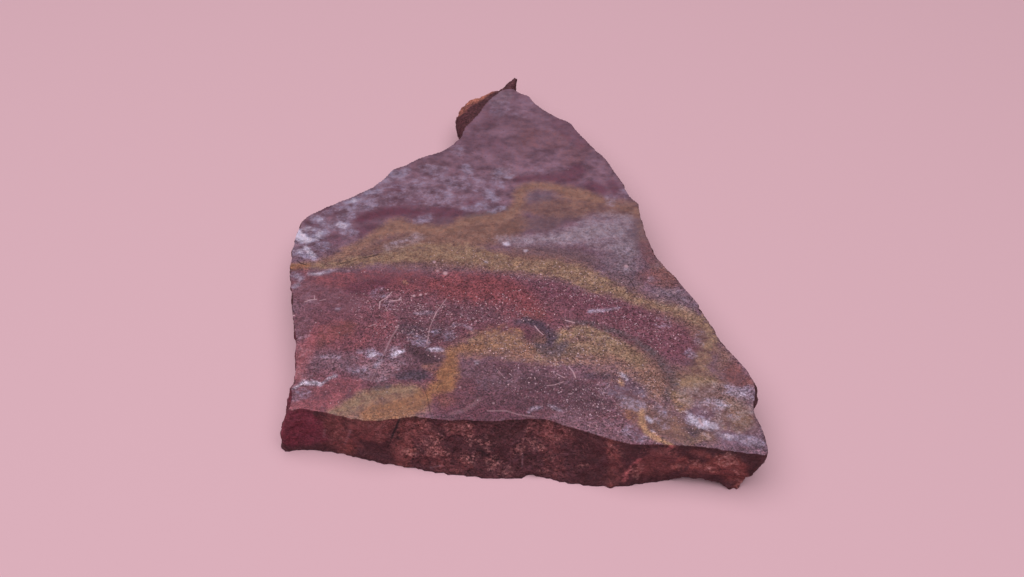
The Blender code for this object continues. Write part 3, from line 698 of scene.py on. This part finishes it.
def layPattern(obj, top):
    places = vertexArray(obj.data) / mm
    normals = vertexArray(obj.data, "normal")
    push = wander(places)
    slide = (top - places[:, 2])[:, None] * np.array(stone["dip"])
    onDrawing = places[:, :2] + np.array(stone["middleOnDrawing"]) - slide + push[:, :2]
    layMinerals(obj, stone["minerals"] | stone["backPatches"] | stone["glitter"], onDrawing)
    onFront = places[:, [0, 2]] + (stone["middleOnDrawing"][0], 0) + push[:, [0, 2]]
    frontY, frontNormal = stone["frontEdge"]
    elsewhere = (places[:, 1] >= frontY) | (normals[:, 1] >= frontNormal)
    onFront[elsewhere] = 999  # far from every stroke
    layMinerals(obj, stone["frontPatches"], onFront)


def paint(rgb, lift=1.0, veil=0.0):
    # screen colour 0-255 to the linear colour that shaders take, less the light the surface adds by itself
    linear = [c / 255 / 12.92 if c < 11 else ((c / 255 + 0.055) / 1.055) ** 2.4 for c in rgb]
    return tuple(max(c * lift - veil, 0.004) for c in linear) + (1,)


class Nodes:
    # short ways to add and link shader nodes
    def __init__(self, material):
        material.use_nodes = True
        self.tree = material.node_tree
        self.shader = self.tree.nodes["Principled BSDF"]

    def add(self, kind, **settings):
        node = self.tree.nodes.new(kind)
        for name, value in settings.items():
            setattr(node, name, value)
        return node

    def feed(self, socket, value):
        if isinstance(value, bpy.types.NodeSocket):
            self.tree.links.new(value, socket)
        else:
            socket.default_value = value

    def math(self, operation, *values, clamp=False):
        node = self.add("ShaderNodeMath", operation=operation, use_clamp=clamp)
        for socket, value in zip(node.inputs, values):
            self.feed(socket, value)
        return node.outputs[0]

    def times(self, first, second):
        return self.math("MULTIPLY", first, second)

    def addTimes(self, value, factor, rest):
        # value times factor, plus the rest
        return self.math("MULTIPLY_ADD", value, factor, rest)

    def vector(self, operation, *values, scale=None):
        node = self.add("ShaderNodeVectorMath", operation=operation)
        for socket, value in zip(node.inputs, values):
            self.feed(socket, value)
        if scale is not None:
            self.feed(node.inputs["Scale"], scale)
        return node.outputs["Value" if operation in ("LENGTH", "DOT_PRODUCT") else "Vector"]

    def split(self, place):
        node = self.add("ShaderNodeSeparateXYZ")
        self.feed(node.inputs[0], place)
        return node.outputs

    def ramp(self, value, low, high, bottom=0.0, top=1.0):
        node = self.add("ShaderNodeMapRange", interpolation_type="SMOOTHSTEP", clamp=False)
        for socket, number in zip(node.inputs, (value, low, high, bottom, top)):
            self.feed(socket, number)
        return node.outputs["Result"]

    def mix(self, share, first, second, blend="MIX"):
        node = self.add("ShaderNodeMix", data_type="RGBA", blend_type=blend)
        self.feed(node.inputs[0], share)
        self.feed(node.inputs[6], first)
        self.feed(node.inputs[7], second)
        return node.outputs[2]

    def noise(self, place, scale, detail=2.0, roughness=0.5):
        # noise about 0, mostly between -1 and 1
        node = self.add("ShaderNodeTexNoise")
        settings = {"Vector": place, "Scale": scale, "Detail": detail, "Roughness": roughness}
        for name, value in settings.items():
            self.feed(node.inputs[name], value)
        return self.addTimes(node.outputs["Fac"], 4.0, -2.0)

    def grains(self, place, perMm):
        # tightly packed grains, each with three random numbers from 0 to 1
        cell = self.add("ShaderNodeTexVoronoi")
        self.feed(cell.inputs["Vector"], place)
        self.feed(cell.inputs["Scale"], perMm)
        split = self.add("ShaderNodeSeparateColor")
        self.feed(split.inputs[0], cell.outputs["Color"])
        return split.outputs

    def mark(self, place, width, start, end):
        # 1 on the line from start to end, falling to 0 a width away from it
        along = Vector(end) - Vector(start)
        offset = self.vector("SUBTRACT", place, (*start, 0))
        if along.length:
            share = self.vector("DOT_PRODUCT", offset, (*(along / along.length_squared), 0))
            share = self.math("MINIMUM", self.math("MAXIMUM", share, 0.0), 1.0)
            offset = self.vector("SUBTRACT", offset, self.vector("SCALE", (*along, 0), scale=share))
        return self.ramp(self.vector("LENGTH", offset), 0.3 * width, width, 1, 0)

    def stored(self, name):
        return self.add("ShaderNodeAttribute", attribute_name=name).outputs["Fac"]


# Grains, noises and finishes. Four numbers are a fade: from, to, and the strength at each. The worn ones run
# from the front to the back.
stone["surface"] = {
    "ground": (126, 95, 110),  # the plain mauve
    "groundShades": (1.35, 0.6),  # its light and dark clouds against that
    "veil": 0.016,  # light the polish adds to every colour
    "contrast": 0.18,  # how far the two shades of a mineral lie from its tone
    "raggedness": 0.3,  # how far mottle and grit break up every border
    "blendGrit": 0.6,  # what the grit adds to the mottle in choosing between light and dark
    "blendRange": (-0.9, 0.9),  # from all dark to all light
    "groundMottle": 0.9,
    "groundGrit": 0.2,
    "groundRange": (-1.3, 1.3),
    "flow": (0.7, 0.95, 0.8),  # the stone flowed from left to right
    "cloudsPerMm": 0.3,
    "mottlesPerMm": 0.9,
    "mottleWorn": (8, 36, 1, 0.55),
    "gritFlow": (0.7, 1, 1),
    "gritPerMm": 2.4,
    "gritWorn": (-6, 26, 1, 0.3),
    "grainsPerMm": 5.6,
    "grain": 0.58,  # how much the grains lighten and darken the colour
    "gritInGrain": 0.3,
    "grainWorn": (-13, 4, 1, 0.09),
    "calm": (0, 1, 1, 0.35),  # how much grain is left in the calm places
    "sparkle": (192, 158, 168),
    "sparkles": 0.17,  # share of the grains that sparkle at most
    "fewSparkles": 0.02,  # what the plain face has of that
    "sparkleStrength": (0, 1, 0.1, 0.65),
    "pit": (70, 44, 54),
    "pits": 0.09,
    "pitStrength": 0.45,
    "markBreaks": (-1.7, -0.1),  # fine marks break up where the grit is below these
    "warmth": 0.06,  # how much the colour shifts between warm and cool
    "warmthPerMm": 1.5,
    "gloss": 0.25,
    "polished": 0.45,  # roughness of the sawn faces
    "polishEnds": (0.02, 0.1),  # the polish ends between these distances from the sawn faces, mm
    "faceBump": 0.012,  # mm
    "broken": 0.8,  # roughness of the broken edge
    "brokenTint": (0.56, 0.4, 0.4),
    "brokenTone": (88, 48, 53),  # the broken edge is darker and browner
    "brokenShare": 0.65,  # how much of it is that brown
    "brokenBump": 0.12,  # mm
    "specksPerMm": 3.4,  # coarser grains, seen on the broken edge
    "specks": (0.3, 0.9, 0.1, 1),  # how the patches that lie in specks show on them
    "edgeGrain": 0.32,
    "edgeMiddle": -4.0,  # x where the edge is grainiest
    "edgeCalm": (9, 17, 1, 0.55),  # and how it calms with the distance from there
    "streaksFlow": (1.5, 1.5, 0.3),
    "streaksPerMm": 1.3,
    "streaksLean": 0.36,
    "streaks": 0.14,
    "paintedRimShade": (0.9, 0.3, 1, 0.8),  # painted shade: darker just below the upper face
    "paintedFootShadow": (0, 0.6, 0.75, 1),  # painted contact shadow: darker at the foot
    "fleck": (150, 94, 94),
    "flecks": 0.1,
    "fleckStrength": 0.45,
    "fleckClouds": (-0.4, 1.2),
    "frontMarks": (-20, -18, 1, 0),  # the front's marks end here, from front to back
}

# Fine marks: width in mm, strength, then the points they run through. A strength below zero is a dark
# crack, and one point is a speck. The face's lie on the drawing, and the front edge's are (x, height).
stone["marks"] = {
    "pale": (190, 150, 160),
    "dark": (52, 33, 39),
    "face": (
        (0.13, 0.5, (-10, -11.6), (-10.7, -12.9), (-11.4, -14.3)),
        (0.14, 0.75, (-11.4, -14.3), (-11.8, -15.6)),
        (0.13, 0.4, (-11.8, -15.6), (-12.3, -17.4), (-12.5, -20.6)),
        (0.2, 0.35, (-17, -17.2), (-17.9, -19.4), (-18.6, -22)),
        (0.14, 0.25, (-18.6, -22), (-19.2, -24), (-20.2, -27.4)),
        (0.15, 0.75, (-31.5, -12.2), (-30.6, -11.8), (-29.8, -11.7)),
        (0.13, 0.7, (-30.1, -11.8), (-30.2, -11)),
        (0.1, 0.5, (-29.3, -12), (-28.4, -11.7)),
        (0.55, 0.9, (-10.4, -6.3)),
        (0.4, 0.75, (-12.2, -3.9)),
        (0.35, 0.6, (-11.6, -5.8)),
        (0.5, 0.75, (17.9, -4.8)),
        (0.35, 0.9, (-15, -11)),
        (0.35, 0.95, (-14, -10.8)),
        (0.25, 0.8, (-13.2, -10.6)),
        (0.13, 0.8, (-18.4, -10.2), (-19.2, -11.4), (-20.1, -12.2), (-20.1, -13.6)),
        (0.16, 0.85, (-18.7, -12.1), (-16.9, -11.8)),
        (0.1, 0.5, (-17, -11.4), (-16.7, -12.4)),
        (0.13, 0.5, (-21.3, -17.1), (-20.6, -16.7), (-20.2, -16.9)),
        (0.12, 0.9, (3.4, -17), (4, -18), (4.6, -18.7)),
        (0.14, 0.9, (8, -15.9), (9.4, -16.4)),
        (0.16, 0.7, (8.2, -24.7), (8.8, -25.6), (9.1, -26.7)),
        (0.14, 0.6, (6.4, -26), (7.5, -26.7)),
        (0.13, 0.5, (5, -28.1), (6, -28), (7.4, -27.4)),
        (0.3, 0.5, (26, -34), (26.3, -35)),
        (0.1, 0.35, (-2.2, -25), (-1.2, -26.6)),
        (0.5, 0.14, (-8.4, -33), (-6.6, -32.4), (-5.4, -31.4), (-4.6, -30.4)),
        (0.2, 0.3, (-3.4, -32.5), (-0.8, -32.5), (0.8, -33.1), (3, -33.5)),
        (0.13, -0.5, (-12.6, -28.4), (-11.9, -30.4), (-11.4, -32.9)),
        (0.15, -0.7, (-27.6, -4.5), (-25.4, -3.7), (-24.6, -3.4)),
        (0.16, -0.8, (-23.4, -3), (-22, -2.6), (-21.2, -2.2)),
        (0.16, -0.8, (-33.8, -3.6), (-33.2, -4.2), (-32.4, -4.5)),
        (0.14, -0.7, (18.2, -7.4), (18.9, -9.4)),
        (0.28, 0.8, (-1.4, -23.1)),
        (0.2, 0.7, (-0.9, -22.8)),
        (0.18, 0.6, (-0.9, -19.8)),
        (0.18, 0.6, (4.5, -22.9)),
        (0.2, 0.6, (2.8, -26.1)),
        (0.2, 0.6, (8.1, -23.2)),
        (0.25, 0.7, (8.7, -18.7)),
        (0.2, 0.8, (7.8, -30.6)),
        (0.28, 0.5, (-2.6, -31.2)),
        (0.28, 0.45, (-7.4, -28.4)),
        (0.2, 0.7, (12.6, -24.3)),
        (0.2, 0.6, (10.5, -27)),
        (0.2, 0.7, (12.2, -27.9)),
        (0.22, 0.6, (13.8, -28.2)),
        (0.22, 0.6, (13, -29.3)),
        (0.2, 0.5, (10.2, -31.2)),
        (0.24, 0.5, (12.8, -32.1)),
        (0.22, 0.5, (24, -27.2)),
        (0.2, 0.6, (-23, -6)),
        (0.22, 0.5, (-22.6, -15.3)),
        (0.2, 0.5, (-19, -16.1)),
        (0.24, 0.6, (-16.3, -18)),
        (0.22, 0.6, (5.4, -16.8)),
        (0.2, 0.8, (-11.2, -22.8)),
        (0.18, 0.7, (-10.6, -23.2)),
        (0.16, 0.7, (-12.2, -22.6)),
    ),
    "front": (
        (0.24, -0.9, (-15.7, 8.4), (-16.2, 7.1), (-16.6, 6.2), (-16.9, 5.3)),
        (0.22, -0.5, (-16.9, 5.3), (-17.6, 3.4)),
        (0.5, -0.8, (-16.1, 5.3)),
        (0.4, -0.7, (-15.9, 6.2)),
        (0.3, 0.12, (-22.6, 6.6), (-24, 2.2)),
        (0.3, 0.14, (-26.5, 5), (-26.9, 3.4)),
        (0.2, 0.12, (1.5, 3.8), (1.4, 1.6)),
        (0.22, 0.16, (-11.6, 0.7), (-10.5, 1.1), (-9.6, 1.2)),
        (0.3, -0.7, (-4.8, 4.3), (-3.6, 3.6)),
    ),
}


def sharedPatterns(n, top):
    # places, noises and grains for the sawn faces and the broken edge alike
    look = stone["surface"]
    p = SimpleNamespace()
    p.place = n.vector("SCALE", n.add("ShaderNodeTexCoord").outputs["Object"], scale=1 / mm)
    p.x, p.y, p.z = n.split(p.place)
    near, far = look["polishEnds"]
    p.polished = n.math("ADD", n.ramp(p.z, top - far, top - near), n.ramp(p.z, near, far, 1, 0), clamp=True)
    flow = n.vector("MULTIPLY", p.place, look["flow"])
    p.cloud = n.noise(flow, look["cloudsPerMm"], 3, 0.6)
    p.mottle = n.times(n.noise(flow, look["mottlesPerMm"], 3, 0.6), n.ramp(p.y, *look["mottleWorn"]))
    p.grit = n.noise(n.vector("MULTIPLY", p.place, look["gritFlow"]), look["gritPerMm"], 3, 0.8)
    p.grit = n.times(p.grit, n.ramp(p.y, *look["gritWorn"]))
    p.shade, p.pick, p.other = n.grains(p.place, look["grainsPerMm"])[:3]
    p.grain = n.addTimes(p.shade, 2.0, -1.0)
    p.speck = n.grains(p.place, look["specksPerMm"])[0]
    p.blend = n.ramp(n.addTimes(p.grit, look["blendGrit"], p.mottle), *look["blendRange"])
    return p


def layColours(n, p, colour, kinds, veil):
    look = stone["surface"]
    for name, kind in kinds.items():
        ragged = look["raggedness"] * kind["ragged"]
        amount = n.ramp(n.addTimes(p.grit, ragged, n.addTimes(p.mottle, ragged, n.stored(name))), 0, 1)
        if "inSpecks" in kind:
            amount = n.times(amount, n.ramp(p.speck, *look["specks"]))
        light = paint(kind["tone"], 1 + look["contrast"], veil)
        dark = paint(kind["tone"], 1 - look["contrast"], veil)
        colour = n.mix(amount, colour, n.mix(p.blend, dark, light))
    return colour


def drawMarks(n, colour, lines, place, share):
    for tone in ("pale", "dark"):
        drawn = 0.0
        for width, strength, *points in lines:
            if (strength > 0) == (tone == "pale"):
                for start, end in zip(points, points[1:] or points):
                    line = n.times(n.mark(place, width, start, end), abs(strength))
                    drawn = n.math("MAXIMUM", drawn, line)
        colour = n.mix(n.times(drawn, share), colour, paint(stone["marks"][tone]))
    return colour


def mineralColour(n, p):
    # the clouded ground with every mineral over it
    look = stone["surface"]
    light, dark = (paint(look["ground"], lift, look["veil"]) for lift in look["groundShades"])
    ground = n.addTimes(p.mottle, look["groundMottle"], n.addTimes(p.grit, look["groundGrit"], p.cloud))
    ground = n.mix(n.ramp(ground, *look["groundRange"]), dark, light)
    return layColours(n, p, ground, stone["minerals"], look["veil"])


def faceColour(n, p, colour):
    # the sawn faces: sparkling grains, pits, grain and fine marks
    look = stone["surface"]
    worn = n.ramp(p.y, *look["grainWorn"])
    sparkles = n.times(n.math("MAXIMUM", n.stored("sparkle"), look["fewSparkles"]), worn)
    bright = n.math("LESS_THAN", p.pick, n.times(sparkles, look["sparkles"]))
    bright = n.times(bright, n.ramp(p.other, *look["sparkleStrength"]))
    colour = n.mix(bright, colour, paint(look["sparkle"]))
    dull = n.math("GREATER_THAN", p.pick, n.addTimes(worn, -look["pits"], 1.0))
    colour = n.mix(n.times(dull, look["pitStrength"]), colour, paint(look["pit"]))
    calm = n.ramp(n.stored("calm"), *look["calm"])
    fine = n.times(n.times(n.addTimes(p.grit, look["gritInGrain"], p.grain), worn), calm)
    colour = n.mix(1.0, colour, n.addTimes(fine, look["grain"], 1.0), "MULTIPLY")
    onDrawing = n.vector("ADD", p.place, (*stone["middleOnDrawing"], 0))
    flat = n.vector("MULTIPLY", onDrawing, (1, 1, 0))
    return drawMarks(n, colour, stone["marks"]["face"], flat, n.ramp(p.grit, *look["markBreaks"]))


def edgeColour(n, p, colour, top):
    # the broken edge: darker and browner, with its own patches, marks, coarse grain and flecks
    # painted shade darkens the edge just under the upper face and at the foot
    look = stone["surface"]
    tint = n.mix(1.0, colour, look["brokenTint"] + (1,), "MULTIPLY")
    tint = n.mix(look["brokenShare"], tint, paint(look["brokenTone"]))
    edge = layColours(n, p, tint, stone["backPatches"] | stone["frontPatches"], 0.0)
    fromFront = n.add("ShaderNodeCombineXYZ")
    n.feed(fromFront.inputs[0], n.math("ADD", p.x, stone["middleOnDrawing"][0]))
    n.feed(fromFront.inputs[1], p.z)
    edge = drawMarks(n, edge, stone["marks"]["front"], fromFront.outputs[0], n.ramp(p.y, *look["frontMarks"]))

    rough = n.addTimes(p.grain, look["edgeGrain"], n.times(p.grit, look["gritInGrain"]))
    rough = n.addTimes(n.addTimes(p.speck, 2.0, -1.0), look["edgeGrain"], rough)
    side = n.math("ABSOLUTE", n.math("SUBTRACT", p.x, look["edgeMiddle"]))
    rough = n.addTimes(rough, n.ramp(side, *look["edgeCalm"]), 1.0)
    slant = n.vector("SUBTRACT", p.place, n.vector("SCALE", (look["streaksLean"], 0, 0), scale=p.z))
    streak = n.noise(n.vector("MULTIPLY", slant, look["streaksFlow"]), look["streaksPerMm"], 2, 0.6)
    rough = n.addTimes(streak, look["streaks"], rough)
    # painted shade just below the upper face
    deep, shallow, *shades = look["paintedRimShade"]
    rough = n.times(rough, n.ramp(p.z, top - deep, top - shallow, *shades))
    # painted contact shadow at the foot
    rough = n.times(rough, n.ramp(p.z, *look["paintedFootShadow"]))
    edge = n.mix(1.0, edge, rough, "MULTIPLY")
    clouds = n.ramp(n.math("ADD", p.mottle, p.cloud), *look["fleckClouds"])
    flecks = n.times(n.math("LESS_THAN", p.pick, look["flecks"]), clouds)
    return n.mix(n.times(flecks, look["fleckStrength"]), edge, paint(look["fleck"]))


def stoneMaterial(top):
    material = bpy.data.materials.new("banded rhyolite")
    look = stone["surface"]
    n = Nodes(material)
    p = sharedPatterns(n, top)
    minerals = mineralColour(n, p)
    colour = n.mix(p.polished, edgeColour(n, p, minerals, top), faceColour(n, p, minerals))
    warmth = n.noise(n.vector("ADD", p.place, (50, 0, 0)), look["warmthPerMm"], 2, 0.7)
    shift = look["warmth"]
    hue = n.mix(n.ramp(warmth, -1, 1), (1 - shift, 1, 1 + shift, 1), (1 + shift, 1 - shift / 2, 1 - shift, 1))
    n.feed(n.shader.inputs["Base Color"], n.mix(1.0, colour, hue, "MULTIPLY"))
    n.feed(n.shader.inputs["Roughness"], n.ramp(p.polished, 0, 1, look["broken"], look["polished"]))
    n.shader.inputs["Specular IOR Level"].default_value = look["gloss"]
    bump = n.add("ShaderNodeBump")
    bump.inputs["Strength"].default_value = 1.0
    n.feed(bump.inputs["Distance"], n.ramp(p.polished, 0, 1, look["brokenBump"] * mm, look["faceBump"] * mm))
    n.feed(bump.inputs["Height"], n.addTimes(p.mottle, 0.5, p.grit))
    n.feed(n.shader.inputs["Normal"], bump.outputs[0])
    return material


floor = {
    "size": 3.0,  # m
    "colour": (217, 173, 185),
    "roughness": 0.9,
    "gloss": 0.1,
}


def addFloor():
    bpy.ops.mesh.primitive_plane_add(size=floor["size"])
    plane = bpy.context.object
    plane.name = "paper"
    material = bpy.data.materials.new("pale pink paper")
    n = Nodes(material)
    n.shader.inputs["Base Color"].default_value = paint(floor["colour"])
    n.shader.inputs["Roughness"].default_value = floor["roughness"]
    n.shader.inputs["Specular IOR Level"].default_value = floor["gloss"]
    plane.data.materials.append(material)


studio = {
    "roomStrength": 0.08,
    "roomColour": (1.0, 0.98, 1.0),
    "lampPlace": (-0.05, -0.12, 0.6),  # m
    "lampSize": 0.94,  # m
    "lampPower": 5.5,  # W
}


def addStudio():
    world = bpy.data.worlds.new("soft room light")
    bpy.context.scene.world = world
    world.use_nodes = True
    room = world.node_tree.nodes["Background"]
    room.inputs["Color"].default_value = studio["roomColour"] + (1,)
    room.inputs["Strength"].default_value = studio["roomStrength"]
    lamp = bpy.data.lights.new("softbox", "AREA")
    lamp.shape = "DISK"
    lamp.size = studio["lampSize"]
    lamp.energy = studio["lampPower"]
    holder = bpy.data.objects.new("softbox", lamp)
    bpy.context.scene.collection.objects.link(holder)
    holder.location = studio["lampPlace"]
    holder.rotation_euler = Vector(studio["lampPlace"]).to_track_quat("Z", "Y").to_euler()


camera = {
    "place": (0.147, -124.71, 134.1),  # mm
    "pitchDown": 48.0,  # degrees
    "widthOfView": 50.0,
    "sensor": 36,
    "nearest": 10,  # mm
}


def addCamera():
    data = bpy.data.cameras.new("camera")
    data.sensor_width = camera["sensor"]
    data.lens = data.sensor_width / 2 / math.tan(math.radians(camera["widthOfView"] / 2))
    data.clip_start = camera["nearest"] * mm
    holder = bpy.data.objects.new("camera", data)
    holder.location = Vector(camera["place"]) * mm
    holder.rotation_euler = (math.radians(90 - camera["pitchDown"]), 0, 0)
    bpy.context.scene.collection.objects.link(holder)
    bpy.context.scene.camera = holder


def main():
    bpy.context.scene.view_settings.view_transform = "Standard"
    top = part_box(stone["node"])[1].z / mm
    addCamera()
    addFloor()
    addStudio()
    print("stage set")

    obj = stoneMesh()
    print("stone remeshed:", len(obj.data.polygons), "faces")
    crumbleEdge(obj, top)
    thinUnderside(obj)
    print("edge broken:", len(obj.data.polygons), "faces")
    layPattern(obj, top)
    print("minerals laid:", sum(len(stone[name]) for name in ("minerals", "backPatches", "frontPatches")))
    obj.data.materials.append(stoneMaterial(top))
    obj.data.shade_smooth()
    obj.data.set_sharp_from_angle(angle=math.radians(stone["sharpAngle"]))
    print("stone coloured:", len(obj.data.materials[0].node_tree.nodes), "nodes")

    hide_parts(stone["node"])
    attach(obj, "root")


main()
